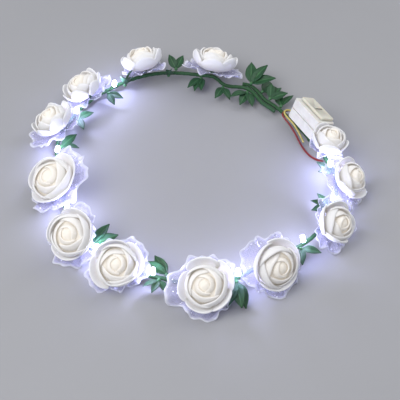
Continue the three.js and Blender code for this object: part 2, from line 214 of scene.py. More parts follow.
# Each sprig grows from one side of the stem (0 out, 90 up, 180 in) and fans its leaves about yaw,
# which counts from straight out, at the elevation pitch. A leaf narrows from its widest share of the length
# on, by a power, droops with the square of its length, and differs in its turn by up to uneven, in radians.
LEAF_LENGTH = 0.012
LEAF_WIDTH = 0.0056
LEAF_STALK = 0.0012
LEAF_STALK_WIDTH = 0.0005
LEAF_WIDEST = 0.40
LEAF_TAPER = 1.25
LEAF_FOLD = 0.30
LEAF_DROOP = 14.0
LEAF_THICKNESS = 0.00028
LEAF_COLUMNS = 9
LEAF_ROWS = 15
LEAF_KNOT = 0.0012
LEAF_UNEVEN = Vector((0.10, 0.35, 0.08))
KNOT_SEGMENTS = 12
KNOT_RINGS = 8
Sprig = namedtuple("Sprig", "angle side yaw spread pitch leaves length")
SPRIGS = (
    Sprig(357, 180, 185, 44, 48, 2, 0.0115),
    Sprig(410, 60, 1, 64, 20, 3, 0.0125),
    Sprig(422, 90, -18, 75, 29, 3, 0.0170),
    Sprig(62, 190, 186, 76, 12, 3, 0.0135),
    Sprig(85, 190, 165, 50, 6, 3, 0.0125),
    Sprig(96, 60, -8, 40, 30, 2, 0.0120),
    Sprig(119.3, 180, 180, 110, 74, 3, 0.0135),
    Sprig(99.5, 175, 185, 50, 72, 2, 0.0120),
    Sprig(128, 180, 190, 44, 2, 2, 0.0110),
    Sprig(148, 185, 194, 100, 8, 2, 0.0120),
    Sprig(166, 180, 206, 60, 20, 2, 0.0130),
    Sprig(227.6, 150, 172, 32, 26, 2, 0.0155),
    Sprig(261.5, 150, 230, 30, 25, 2, 0.0140),
    Sprig(259, 20, -10, 100, 8, 3, 0.0100),
    Sprig(287.2, 20, -14.2, 46, -6, 3, 0.0165),
    Sprig(314.4, 20, -6, 75, 11, 2, 0.0120),
    Sprig(338.5, 170, 180, 75, 16, 3, 0.0110),
    Sprig(416, 10, -18, 40, -4, 2, 0.0150),
    Sprig(404, 10, 28, 44, 10, 2, 0.0130),
    Sprig(74, 190, 196, 44, 6, 2, 0.0120),
)

# The battery case: corner is its inner lower corner at the leafy end, and its own X runs to the other end
CASE_CORNER = Vector((0.0653, 0.0479, 0.0079))
CASE_TURN = Euler((math.radians(-25.4), math.radians(-8.5), math.radians(-65.5)), "XYZ")
CASE_LENGTH = 0.031
CASE_WIDTH = 0.014
CASE_BASE_HEIGHT = 0.0068
CASE_TOP_HEIGHT = 0.0068
CASE_GAP = 0.0003
CASE_CORNER_RADIUS = 0.0020
CASE_FILLET = 0.0006
LID_START = Vector((0.002, 0.0034, 0))
LID_LENGTH = 0.027
LID_WIDTH = 0.0100
LID_HEIGHT = 0.0018
LID_CORNER_RADIUS = 0.0014
LID_FILLET = 0.0005
CORNER_STEPS = 6
FILLET_STEPS = 4
SLOT_MIDDLE = Vector((0.017, 0.0082, 0))
SLOT_LENGTH = 0.0058
SLOT_WIDTH = 0.0011
SLOT_DEPTH = 0.0008
SLOT_CORNER_RADIUS = 0.45 * SLOT_WIDTH
SLOT_FILLET = 0.1 * SLOT_WIDTH
SLOT_TURN = 93
SLOT_ABOVE = 0.001

# The leads' routes, point by point from the case's leafy end, and how finely a lead is made
LEAD_SIDES = 4
LEAD_STEPS = 8
YELLOW_ROUTE = (
    (0.0687, 0.0501, 0.0092), (0.0676, 0.0513, 0.0090), (0.0660, 0.0518, 0.0089), (0.0643, 0.0513, 0.0090),
    (0.0634, 0.0497, 0.0090), (0.0640, 0.0475, 0.0085), (0.0659, 0.0446, 0.0080), (0.0683, 0.0413, 0.0075),
    (0.0702, 0.0376, 0.0070), (0.0719, 0.0335, 0.0066), (0.0733, 0.0290, 0.0063), (0.0746, 0.0245, 0.0062),
)
RED_ROUTE = (
    (0.0706, 0.0507, 0.0077), (0.0695, 0.0522, 0.0074), (0.0674, 0.0530, 0.0072), (0.0650, 0.0527, 0.0072),
    (0.0630, 0.0513, 0.0072), (0.0623, 0.0492, 0.0069), (0.0634, 0.0470, 0.0061), (0.0660, 0.0438, 0.0046),
    (0.0687, 0.0390, 0.0034), (0.0709, 0.0336, 0.0024), (0.0729, 0.0280, 0.0017), (0.0754, 0.0223, 0.0013),
    (0.0783, 0.0173, 0.0013), (0.0815, 0.0136, 0.0018), (0.0843, 0.0110, 0.0028), (0.0864, 0.0095, 0.0040),
)

# The stage
FLOOR_REACH = 3.0
SENSOR_WIDTH = 36
CLIP_START = 0.01
SOFT_LIGHT_SIZE = 0.9
KEY_PLACE = Vector((-0.55, -0.35, 0.95))
FILL_PLACE = Vector((0.75, 0.55, 0.80))
FILL_SHARE = 0.45

# The shared grain and mottling: how fine their noise is, and which of its values are used
GRAIN_DETAIL = 4.0
PATCH_SCALE = 160.0
PATCH_DETAIL = 3.0
PATCH_RANGE = (0.3, 0.7)
MOTTLE_DETAIL = 5.0
MOTTLE_RANGE = (0.38, 0.72)

# The skin of each finish: how fine its grain is, its roughness in smooth and in rough patches, how fine its
# mottling is, how much of it shows and how light it is against the main colour, and its bump's depth and
# strength
Skin = namedtuple("Skin", "grain smooth rough mottling amount shade depth strength")
FOAM_SKIN = Skin(1500, 0.58, 0.76, 260, 0.5, 0.95, 0.0003, 0.2)
FILM_SKIN = Skin(500, 0.06, 0.22, 0, 0, 1, 0.0006, 0.4)
GLITTER_SKIN = Skin(2500, 0.12, 0.35, 900, 0.8, 1, 0, 0)
LEAF_SKIN = Skin(1800, 0.42, 0.62, 330, 0.75, 0.62, 0.0002, 0.35)
TAPE_SKIN = Skin(1600, 0.55, 0.78, 420, 0.6, 1.5, 0.0003, 0.5)
LAMP_SKIN = Skin(900, 0.12, 0.3, 500, 1, 1, 0, 0)
PLASTIC_SKIN = Skin(2600, 0.30, 0.48, 190, 0.22, 1, 0.0001, 0.2)
SLOT_SKIN = Skin(1200, 0.6, 0.85, 800, 0.5, 2, 0, 0)
LEAD_SKIN = Skin(1400, 0.32, 0.5, 500, 0.5, 0.7, 0.0001, 0.3)
FLOOR_SKIN = Skin(300, 0.42, 0.52, 12, 0.6, 0.96, 0, 0)

# Colours and shares in the finishes: how opaque the film is face on and edge on and how much more at its
# rim, where a highlight is painted, where across a leaf its midrib fades, and where past a lap, and from
# what, the tape's dark edge fades
BLACK = (0.0, 0.0, 0.0)
COOL_WHITE = (0.9, 0.93, 1.0)
DOME_WHITE = (0.9, 0.92, 0.96)
FLECK_SHADE = (0.72, 0.74, 0.95)
FILM_HAZE = (0.16, 0.55)
RIM_HIGHLIGHT_HAZE = 0.5
RIB_FADE = (0.02, 0.16)
LAP_FADE = (0.0, 0.18)
LAP_SHADE = 0.9


def colour_property(name, description, default):
    """A colour that a user may change."""
    return FloatVectorProperty(
        name=name, description=description, subtype="COLOR", size=3, min=0, max=1, default=default)


def length_property(name, description, default):
    """A length in metres that a user may change."""
    return FloatProperty(
        name=name, description=description, unit="LENGTH", min=0, default=default, precision=5)


def number_property(name, description, default, **kind):
    """A number that a user may change; kind holds its unit or subtype."""
    return FloatProperty(name=name, description=description, default=default, **kind)


class CrownFoam(bpy.types.PropertyGroup):
    """The foam of the roses."""
    white: colour_property("Foam", "Colour of the petals' open faces", (0.80, 0.795, 0.81))
    # Painted shade: a creamy colour painted deep between the petals where shade falls, also the colour of
    # their painted glow
    fold: colour_property("Folds", "Creamy colour deep between the petals", (0.84, 0.77, 0.66))
    thickness: length_property("Sheet", "Thickness of the foam sheet", 0.0010)
    # Painted glow: the foam glows deep in the folds as though lit through, though it is no lamp
    lit: number_property("Lit", "How much light shows through deep in the folds", 0.15)


class CrownFilm(bpy.types.PropertyGroup):
    """The clear film and its glitter."""
    # Painted light: the film's violet tint stands in for the lamps' violet light on the clear film
    painted_lamp_tint: colour_property("Film", "Tint of the clear film", (0.58, 0.57, 0.86))
    # Painted highlight: the whiter colour along the film's cut rim stands in for light catching its edge
    rim: colour_property("Rim", "Colour along the film's cut rim", (0.92, 0.93, 1.0))
    glitter: colour_property("Glitter", "Colour of the glitter flecks", (0.93, 0.94, 1.0))
    thickness: length_property("Film thickness", "Thickness of the film", 0.00012)
    fleck: length_property("Fleck", "Radius of a glitter fleck", 0.00050)
    flecks: number_property("Flecks", "Glitter flecks on each square metre", 26000)
    seed: IntProperty(name="Seed", description="Which scatter of flecks is used", default=7)


class CrownGreen(bpy.types.PropertyGroup):
    """The leaves and the taped stem."""
    leaf: colour_property("Leaf", "Colour of the leaves", (0.015, 0.075, 0.026))
    rib: colour_property("Rib", "Colour along a leaf's midrib", (0.048, 0.150, 0.055))
    tape: colour_property("Tape", "Colour of the tape round the stem", (0.020, 0.072, 0.026))
    tape_edge: colour_property("Tape edge", "Colour at the tape's laps", (0.009, 0.034, 0.012))
    pitch: length_property("Tape pitch", "How far the tape moves on in a turn", 0.0046)
    step: length_property("Tape step", "How high the tape's lap stands", 0.00022)
    spacing: length_property("Ring spacing", "How finely the stem is made along its length", 0.0006)
    seed: IntProperty(name="Seed", description="How the leaves are turned about", default=3)


class CrownLights(bpy.types.PropertyGroup):
    """The lit lamps."""
    colour: colour_property("Light", "Colour of the light", (0.55, 0.57, 1.0))
    power: number_property("Power", "Watts of light from each lamp", 0.026, unit="POWER")
    glow: number_property("Glow", "How bright a lamp's dome looks", 25.0)


class CrownCase(bpy.types.PropertyGroup):
    """The battery case."""
    shell: colour_property("Shell", "Colour of the case's halves", (0.76, 0.745, 0.71))
    lid: colour_property("Lid", "Colour of the raised lid", (0.72, 0.685, 0.58))
    grime: colour_property("Grime", "Colour of the handling marks", (0.36, 0.33, 0.28))
    slot: colour_property("Slot", "Colour inside the lid's slot", (0.05, 0.032, 0.02))


class CrownLeads(bpy.types.PropertyGroup):
    """The two leads beside the case."""
    diameter: length_property("Diameter", "Diameter of a lead", 0.0012)
    yellow: colour_property("Yellow", "Colour of the yellow lead", (0.50, 0.42, 0.12))
    red: colour_property("Red", "Colour of the red lead", (0.22, 0.014, 0.016))


class CrownStage(bpy.types.PropertyGroup):
    """The floor, the studio light and the camera."""
    floor: colour_property("Floor", "Colour of the floor", (0.33, 0.33, 0.345))
    key: number_property("Key", "Watts of the large soft light", 11.0, unit="POWER")
    sky: number_property("Sky", "Strength of the light from all round", 0.45)
    lens: number_property("Lens", "Focal length in millimetres", 90)
    distance: length_property("Distance", "From the camera to the middle of the view", 0.63)
    elevation: number_property(
        "Elevation", "Height of the camera above the floor, as an angle", math.radians(49), subtype="ANGLE")
    aim: FloatVectorProperty(
        name="Aim", description="Middle of the view, from the ring's centre",
        subtype="TRANSLATION", default=(0.0069, -0.0204, 0), precision=4)


class CrownSettings(bpy.types.PropertyGroup):
    """All the crown's settings."""
    foam: PointerProperty(type=CrownFoam)
    film: PointerProperty(type=CrownFilm)
    green: PointerProperty(type=CrownGreen)
    lights: PointerProperty(type=CrownLights)
    case: PointerProperty(type=CrownCase)
    leads: PointerProperty(type=CrownLeads)
    stage: PointerProperty(type=CrownStage)


def smooth_step(value, low, high):
    """0 below low, 1 above high and an easy slope between them."""
    share = min(1, max(0, (value - low) / (high - low)))
    return share * share * (3 - 2 * share)


def unit_at(azimuth, elevation):
    """The unit vector with that azimuth and elevation."""
    flat = math.cos(math.radians(elevation))
    turn = math.radians(azimuth)
    return Vector((flat * math.cos(turn), flat * math.sin(turn), math.sin(math.radians(elevation))))


def foot_height(flower):
    """How high a flower's foot is: with no lift, the low edge of its film rests on the table."""
    rise = math.radians(flower.rise)
    resting = (flower.ruffle + FILM_SWING) * math.cos(rise) - FILM_RIM_HEIGHT * math.sin(rise)
    return resting + flower.lift


def stem_rows():
    """The places that the stem passes, in order round the ring."""
    rows = [StemPass(flower.angle, flower.radius, foot_height(flower)) for flower in FLOWERS]
    return sorted(rows + list(STEM_PASSES))


STEM_ROWS = stem_rows()


def lap_push(angle):
    """How far the lap pushes the stem: its first end in and its last end out."""
    inward = 1 - smooth_step(angle, STEM_END - 360, STEM_END - 360 + LAP_BLEND)
    outward = smooth_step(angle, STEM_START + 360 - LAP_BLEND, STEM_START + 360)
    return LAP_OFFSET * (outward - inward)


def stem_point(angle):
    """A point of the stem's centreline in the ring's own frame, eased from each row to the next."""
    first = STEM_ROWS[0].angle
    turned = (angle - first) % 360 + first
    closed = STEM_ROWS + [STEM_ROWS[0]._replace(angle=first + 360)]
    after = next(i for i, row in enumerate(closed) if row.angle > turned)
    last = closed[after - 1]
    following = closed[after]
    ease = (1 - math.cos(math.pi * (turned - last.angle) / (following.angle - last.angle))) / 2
    radius = last.radius + (following.radius - last.radius) * ease + lap_push(angle)
    point = unit_at(angle, 0) * radius
    point.z = last.height + (following.height - last.height) * ease
    return point


def stem_path():
    """The stem's centreline as evenly turned points."""
    turn = (STEM_END - STEM_START) / STEM_STEPS
    return [stem_point(STEM_START + turn * i) for i in range(STEM_STEPS + 1)]


def ring_centre():
    """Where the ring's own frame sits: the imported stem's box against the box of its path."""
    low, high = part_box("vine_stem")
    path = stem_path()
    lowest = Vector([min(point[axis] for point in path) for axis in range(3)])
    highest = Vector([max(point[axis] for point in path) for axis in range(3)])
    return (low + high - lowest - highest) / 2


RING = ring_centre()


def place_along(point, axis):
    """The matrix that stands a piece on a point of the ring with its own Z along axis."""
    return Matrix.Translation(RING + point) @ UP.rotation_difference(axis).to_matrix().to_4x4()


def flower_place(flower):
    """The matrix of a flower, from its foot on the stem to the way that it faces."""
    return place_along(stem_point(flower.angle), unit_at(flower.facing, flower.rise))


def numbered(name, index):
    """The name of one of several like pieces."""
    return f"{name}_{index + 1:02d}"


def link(piece):
    """Puts an object in the scene."""
    bpy.context.scene.collection.objects.link(piece)
    return piece


def lathe_rows(profile, segments, value):
    """Rows of corners as (point, uv, value): a profile of (radius, height) turned about Z."""
    rows = []
    for radius, height in profile:
        row = []
        for i in range(segments):
            point = unit_at(360 * i / segments, 0) * radius + UP * height
            row.append((point, (i / segments, height), value))
        rows.append(row)
    return rows


class Shape:
    """Gathers grids of corners into one mesh with a UV map and one named value on each corner."""

    def __init__(self):
        self.points = []
        self.uvs = []
        self.values = []
        self.faces = []

    def add_grid(self, rows, wrap=False):
        """Rows hold corners as (point, uv, value); wrap joins each row's last corner to its first."""
        start = len(self.points)
        width = len(rows[0])
        for row in rows:
            for point, uv, value in row:
                self.points.append(point)
                self.uvs.append(uv)
                self.values.append(value)
        for j in range(len(rows) - 1):
            for i in range(width if wrap else width - 1):
                here = start + j * width + i
                beside = start + j * width + (i + 1) % width
                self.faces.append((here, beside, beside + width, here + width))

    def add_lathe(self, profile, segments, value):
        """Turns a profile of (radius, height) in millimetres about Z, with one value all over."""
        rows = lathe_rows(profile, segments, value)
        self.add_grid([[(point * MM, uv, value) for point, uv, value in row] for row in rows], wrap=True)

    def add_stack(self, outlines):
        """Joins equal closed outlines, one above the other, and closes the first and the last."""
        start = len(self.points)
        width = len(outlines[0])
        rows = [[(point, (point.x, point.y), 0) for point in outline] for outline in outlines]
        self.add_grid(rows, wrap=True)
        end = len(self.points)
        self.faces.append(tuple(reversed(range(start, start + width))))
        self.faces.append(tuple(range(end - width, end)))

    def piece(self, name, value_name, place, finish=None):
        """The object with its place in its mesh, and with its finish where it is given one."""
        mesh = bpy.data.meshes.new(name)
        mesh.from_pydata([place @ point for point in self.points], [], self.faces)
        layer = mesh.uv_layers.new(name="surface")
        for loop in mesh.loops:
            layer.data[loop.index].uv = self.uvs[loop.vertex_index]
        attribute = mesh.attributes.new(value_name, "FLOAT", "POINT")
        attribute.data.foreach_set("value", self.values)
        if finish:
            mesh.materials.append(finish)
        close_seams(mesh)
        mesh.shade_smooth()
        return link(bpy.data.objects.new(name, mesh))


def close_seams(mesh):
    """Joins corners that lie on each other and turns the faces outwards."""
    tidy = bmesh.new()
    tidy.from_mesh(mesh)
    bmesh.ops.remove_doubles(tidy, verts=tidy.verts, dist=SEAM_DISTANCE)
    bmesh.ops.recalc_face_normals(tidy, faces=tidy.faces)
    tidy.to_mesh(mesh)
    tidy.free()


def thicken(piece, thickness):
    """Gives a sheet its thickness, half to each side."""
    wall = piece.modifiers.new("thickness", "SOLIDIFY")
    wall.thickness = thickness
    wall.offset = 0


def soften(piece, levels):
    """Rounds a piece by that many subdivisions."""
    soft = piece.modifiers.new("soft edges", "SUBSURF")
    soft.levels = levels
    soft.render_levels = levels


def plain_mesh(piece, name):
    """Turns a piece with its modifiers into a plain mesh object and takes the old one away."""
    depsgraph = bpy.context.evaluated_depsgraph_get()
    mesh = bpy.data.meshes.new_from_object(
        piece.evaluated_get(depsgraph), preserve_all_data_layers=True, depsgraph=depsgraph)
    mesh.name = name
    bpy.data.objects.remove(piece)
    return link(bpy.data.objects.new(name, mesh))


def settle(piece, slot, *nodes):
    """Rides a finished piece on the crown and hides the nodes that it stands for; its slot is not used."""
    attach(piece, "root")
    if nodes:
        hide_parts(*nodes)


def add_node(tree, kind, inputs=None, **settings):
    """Adds a node. Inputs maps socket names or numbers to values or to the sockets that feed them."""
    node = tree.nodes.new(kind)
    for name, value in settings.items():
        setattr(node, name, value)
    for key, value in (inputs or {}).items():
        if isinstance(value, bpy.types.NodeSocket):
            tree.links.new(value, node.inputs[key])
        else:
            node.inputs[key].default_value = value
    return node


def work_out(tree, operation, first, second=0.0):
    """A number worked out from two others."""
    return add_node(tree, "ShaderNodeMath", {0: first, 1: second}, operation=operation).outputs["Value"]


def mix_colours(tree, factor, first, second):
    """A colour between two, by a factor."""
    return add_node(tree, "ShaderNodeMix", {0: factor, 6: first, 7: second}, data_type="RGBA").outputs[2]


def map_range(tree, value, source, target):
    """A value carried from its source range over to a target range."""
    return add_node(tree, "ShaderNodeMapRange", {
        "Value": value, "From Min": source[0], "From Max": source[1],
        "To Min": target[0], "To Max": target[1]}).outputs["Result"]


def noise(tree, scale, detail):
    """Noise on a piece's own coordinates."""
    place = add_node(tree, "ShaderNodeTexCoord").outputs["Object"]
    inputs = {"Vector": place, "Scale": scale, "Detail": detail}
    return add_node(tree, "ShaderNodeTexNoise", inputs).outputs["Fac"]


def opaque(colour):
    """A colour with full alpha, for a node's socket."""
    return (*colour, 1.0)


def new_group(name, kind, inputs, outputs):
    """A node group of a kind. Inputs and outputs map each socket's name to its type."""
    tree = bpy.data.node_groups.new(name, kind)
    for side, sockets in (("INPUT", inputs), ("OUTPUT", outputs)):
        for socket_name, socket_type in sockets.items():
            tree.interface.new_socket(
                name=socket_name, in_out=side, socket_type=f"NodeSocket{socket_type}")
    given = tree.nodes.new("NodeGroupInput").outputs
    result = tree.nodes.new("NodeGroupOutput").inputs
    return tree, given, result


def make_grain(name):
    """Fine grain: a height for a bump, and roughness that changes from patch to patch."""
    tree, given, result = new_group(
        name, "ShaderNodeTree", {"Scale": "Float", "Smooth": "Float", "Rough": "Float"},
        {"Height": "Float", "Roughness": "Float"})
    patches = noise(tree, PATCH_SCALE, PATCH_DETAIL)
    roughness = map_range(tree, patches, PATCH_RANGE, (given["Smooth"], given["Rough"]))
    tree.links.new(noise(tree, given["Scale"], GRAIN_DETAIL), result["Height"])
    tree.links.new(roughness, result["Roughness"])
    return tree


def make_mottle(name):
    """Uneven colour: patches of one colour over another."""
    tree, given, result = new_group(
        name, "ShaderNodeTree", {"Main": "Color", "Patch": "Color", "Scale": "Float", "Amount": "Float"},
        {"Color": "Color"})
    patches = noise(tree, given["Scale"], MOTTLE_DETAIL)
    spread = map_range(tree, patches, MOTTLE_RANGE, (0.0, given["Amount"]))
    tree.links.new(mix_colours(tree, spread, given["Main"], given["Patch"]), result["Color"])
    return tree


def shared_group(name, maker):
    """A node group that several finishes or pieces use, made the first time it is asked for."""
    return bpy.data.node_groups.get(name) or maker(name)


def placed_group(tree, name, maker, inputs):
    """The outputs of a shared shader group, placed in a finish with its own values."""
    return add_node(tree, "ShaderNodeGroup", inputs, node_tree=shared_group(name, maker)).outputs


def surface_value(tree, name):
    """The value that a mesh holds on its corners under that name."""
    return add_node(tree, "ShaderNodeAttribute", attribute_name=name).outputs["Fac"]


Finish = namedtuple("Finish", "material tree shader skin face height")


def new_finish(name, skin, main, values, patch=None):
    """A finish with its skin's grain and mottling; values are the shader's plain inputs.

    The mottling has the colour patch, or else a shade of the main colour.
    """
    material = bpy.data.materials.new(name)
    material.use_nodes = True
    tree = material.node_tree
    tree.nodes.clear()
    grain = placed_group(tree, "surface grain", make_grain, {
        "Scale": skin.grain, "Smooth": skin.smooth, "Rough": skin.rough})
    face = opaque(main)
    if skin.amount:
        other = Vector(main) * skin.shade if patch is None else patch
        face = placed_group(tree, "mottled colour", make_mottle, {
            "Main": face, "Patch": opaque(other), "Scale": skin.mottling, "Amount": skin.amount})["Color"]
    shader = add_node(tree, "ShaderNodeBsdfPrincipled", {
        **values, "Base Color": face, "Roughness": grain["Roughness"]})
    add_node(tree, "ShaderNodeOutputMaterial", {"Surface": shader.outputs["BSDF"]})
    return Finish(material, tree, shader, skin, face, grain["Height"])


def bump(finish, height):
    """The normal of a finish raised by height, as deep and strong as its skin says."""
    inputs = {"Height": height, "Distance": finish.skin.depth, "Strength": finish.skin.strength}
    return add_node(finish.tree, "ShaderNodeBump", inputs).outputs["Normal"]


def feed(finish, **sockets):
    """Joins sockets to the shader's inputs; an underscore in a name stands for a space."""
    for name, socket in sockets.items():
        finish.tree.links.new(socket, finish.shader.inputs[name.replace("_", " ")])


def foam_finish(foam):
    """White foam sheet: matt, a little see-through, with a creamy shade and a faint glow painted deep in the
    folds.
    """
    finish = new_finish("rose foam", FOAM_SKIN, foam.white, {
        "Subsurface Weight": 0.5, "Subsurface Radius": (1.0, 0.97, 0.95), "Subsurface Scale": 0.003,
        "Sheen Weight": 0.1, "Sheen Roughness": 0.5, "Specular IOR Level": 0.25,
        "Emission Strength": foam.lit})
    tree = finish.tree
    fold = surface_value(tree, "fold")
    creamy = opaque(foam.fold)
    # Painted shade and glow: deep in the folds the creamy colour is painted over the white, and glows there
    # too
    feed(finish, Base_Color=mix_colours(tree, fold, finish.face, creamy),
         Emission_Color=mix_colours(tree, fold, opaque(BLACK), creamy),
         Normal=bump(finish, finish.height))
    return finish.material


def film_finish(film):
    """Clear film, its violet tint painted lamp light: nearly invisible face on, whiter edge on, and with a
    highlight painted along its cut rim.
    """
    finish = new_finish("clear film", FILM_SKIN, film.painted_lamp_tint, {"IOR": 1.45, "Specular IOR Level": 0.8})
    tree = finish.tree
    # A highlight is painted along the cut rim: a whiter colour and more opacity
    rim = surface_value(tree, "rim")
    edge = add_node(tree, "ShaderNodeLayerWeight", {"Blend": 0.25}).outputs["Facing"]
    haze = map_range(tree, edge, (0.0, 1.0), FILM_HAZE)
    feed(finish, Alpha=work_out(tree, "ADD", haze, work_out(tree, "MULTIPLY", rim, RIM_HIGHLIGHT_HAZE)),
         Base_Color=mix_colours(tree, rim, finish.face, opaque(film.rim)),
         Normal=bump(finish, finish.height))
    return finish.material


def glitter_finish(film):
    """Pale glossy flecks."""
    return new_finish("glitter flecks", GLITTER_SKIN, film.glitter, {
        "Specular IOR Level": 0.8, "IOR": 1.5}, FLECK_SHADE).material


def leaf_finish(green):
    """Thin leaves: mottled green with a paler midrib and fine side veins."""
    finish = new_finish("leaf", LEAF_SKIN, green.leaf, {
        "Subsurface Weight": 0.12, "Subsurface Radius": (0.4, 1.0, 0.4), "Subsurface Scale": 0.001,
        "Specular IOR Level": 0.45})
    tree = finish.tree
    rib = map_range(tree, surface_value(tree, "across"), RIB_FADE, (1.0, 0.0))
    surface = add_node(tree, "ShaderNodeUVMap", uv_map="surface").outputs["UV"]
    veins = add_node(tree, "ShaderNodeTexWave", {"Vector": surface, "Scale": 2.2, "Distortion": 0.6},
                     bands_direction="DIAGONAL").outputs["Fac"]
    feed(finish, Base_Color=mix_colours(tree, rib, finish.face, opaque(green.rib)),
         Normal=bump(finish, work_out(tree, "ADD", veins, finish.height)))
    return finish.material


def tape_finish(green):
    """Crinkled paper tape, darker at each lap."""
    finish = new_finish("stem tape", TAPE_SKIN, green.tape, {"Specular IOR Level": 0.35})
    tree = finish.tree
    lap = map_range(tree, surface_value(tree, "lap"), LAP_FADE, (LAP_SHADE, 0.0))
    feed(finish, Base_Color=mix_colours(tree, lap, finish.face, opaque(green.tape_edge)),
         Normal=bump(finish, finish.height))
    return finish.material


def lamp_finish(lights, green):
    """A lit clear dome on a taped foot; lit is 1 on the dome and 0 on the foot."""
    finish = new_finish("lit lamp", LAMP_SKIN, lights.colour, {
        "Emission Strength": lights.glow, "Coat Weight": 0.3}, COOL_WHITE)
    tree = finish.tree
    lit = surface_value(tree, "lit")
    feed(finish, Base_Color=mix_colours(tree, lit, opaque(green.tape), opaque(DOME_WHITE)),
         Emission_Color=mix_colours(tree, lit, opaque(BLACK), finish.face))
    return finish.material


def plastic_finish(name, colour, grime):
    """Moulded plastic with a fine matt texture and faint handling marks."""
    finish = new_finish(name, PLASTIC_SKIN, colour, {
        "Specular IOR Level": 0.45, "Subsurface Weight": 0.08, "Subsurface Scale": 0.001}, grime)
    feed(finish, Normal=bump(finish, finish.height))
    return finish.material


def slot_finish(colour):
    """The dark inside of the lid's slot."""
    return new_finish("slot shade", SLOT_SKIN, colour, {"Specular IOR Level": 0.2}).material


def lead_finish(name, colour):
    """Soft insulation on a thin lead."""
    finish = new_finish(name, LEAD_SKIN, colour, {"Specular IOR Level": 0.5})
    feed(finish, Normal=bump(finish, finish.height))
    return finish.material


def floor_finish(stage):
    """A plain pale floor with a soft sheen."""
    return new_finish("pale floor", FLOOR_SKIN, stage.floor, {"Specular IOR Level": 0.35}).material


def made_by_nodes(name, base, tree, values):
    """Runs a geometry tree on a base object with named values and gives back a plain mesh object."""
    modifier = base.modifiers.new(tree.name, "NODES")
    modifier.node_group = tree
    for item in tree.interface.items_tree:
        if item.in_out == "INPUT" and item.name in values:
            modifier[item.identifier] = values[item.name]
    return plain_mesh(base, name)


def end_tree(tree, geometry, finish, result):
    """Ends a geometry tree: real geometry with its finish."""
    real = add_node(tree, "GeometryNodeRealizeInstances", {"Geometry": geometry}).outputs["Geometry"]
    done = add_node(tree, "GeometryNodeSetMaterial", {"Geometry": real, "Material": finish})
    tree.links.new(done.outputs["Geometry"], result)


def marked(tree, geometry, name, value):
    """Geometry whose points hold a value under a name."""
    inputs = {"Geometry": geometry, "Name": name, "Value": value}
    return add_node(tree, "GeometryNodeStoreNamedAttribute", inputs).outputs["Geometry"]


def held(tree, name):
    """The value that points hold under a name."""
    return add_node(tree, "GeometryNodeInputNamedAttribute", {"Name": name}).outputs["Attribute"]


def raised(tree, geometry, normal, distance):
    """Geometry moved a distance along its normals."""
    offset = add_node(tree, "ShaderNodeVectorMath", {0: normal, "Scale": distance}, operation="SCALE")
    inputs = {"Geometry": geometry, "Offset": offset.outputs["Vector"]}
    return add_node(tree, "GeometryNodeSetPosition", inputs).outputs["Geometry"]


def smoothed(tree, mesh):
    """A mesh with smooth shading."""
    return add_node(tree, "GeometryNodeSetShadeSmooth", {"Geometry": mesh}).outputs["Geometry"]


def copies_on(tree, points, shape, turn, size):
    """Copies of a shape on points, turned and sized."""
    inputs = {"Points": points, "Instance": shape, "Rotation": turn, "Scale": size}
    return add_node(tree, "GeometryNodeInstanceOnPoints", inputs).outputs["Instances"]


def random_turn(tree, most, seed):
    """A random turn, up to most to either side about each axis."""
    inputs = {0: -most, 1: most, "Seed": seed}
    return add_node(tree, "FunctionNodeRandomValue", inputs, data_type="FLOAT_VECTOR").outputs[0]


def make_stem_tree(name):
    """Geometry nodes for a stem wound with tape: a tube along a path with the tape's lap as a spiral step."""
    tree, given, result = new_group(name, "GeometryNodeTree", {
        "Path": "Geometry", "Radius": "Float", "Tape pitch": "Float", "Tape step": "Float",
        "Ring spacing": "Float", "Finish": "Material"}, {"Stem": "Geometry"})
    path = add_node(tree, "GeometryNodeMeshToCurve", {"Mesh": given["Path"]}).outputs["Curve"]
    even = add_node(tree, "GeometryNodeResampleCurve", mode="LENGTH", inputs={
        "Curve": path, "Length": given["Ring spacing"]}).outputs["Curve"]
    measure = add_node(tree, "GeometryNodeSplineParameter").outputs
    circle = add_node(tree, "GeometryNodeCurvePrimitiveCircle", {
        "Resolution": STEM_SIDES, "Radius": given["Radius"]}).outputs["Curve"]
    tube = add_node(tree, "GeometryNodeCurveToMesh", {
        "Curve": marked(tree, even, "along", measure["Length"]),
        "Profile Curve": marked(tree, circle, "around", measure["Factor"]),
        "Fill Caps": True}).outputs["Mesh"]
    turns = work_out(tree, "DIVIDE", held(tree, "along"), given["Tape pitch"])
    lap = work_out(tree, "FRACT", work_out(tree, "ADD", turns, held(tree, "around")))
    normal = add_node(tree, "GeometryNodeInputNormal").outputs["Normal"]
    step = work_out(tree, "MULTIPLY", lap, given["Tape step"])
    wound = raised(tree, marked(tree, tube, "lap", lap), normal, step)
    end_tree(tree, smoothed(tree, wound), given["Finish"], result["Stem"])
    return tree


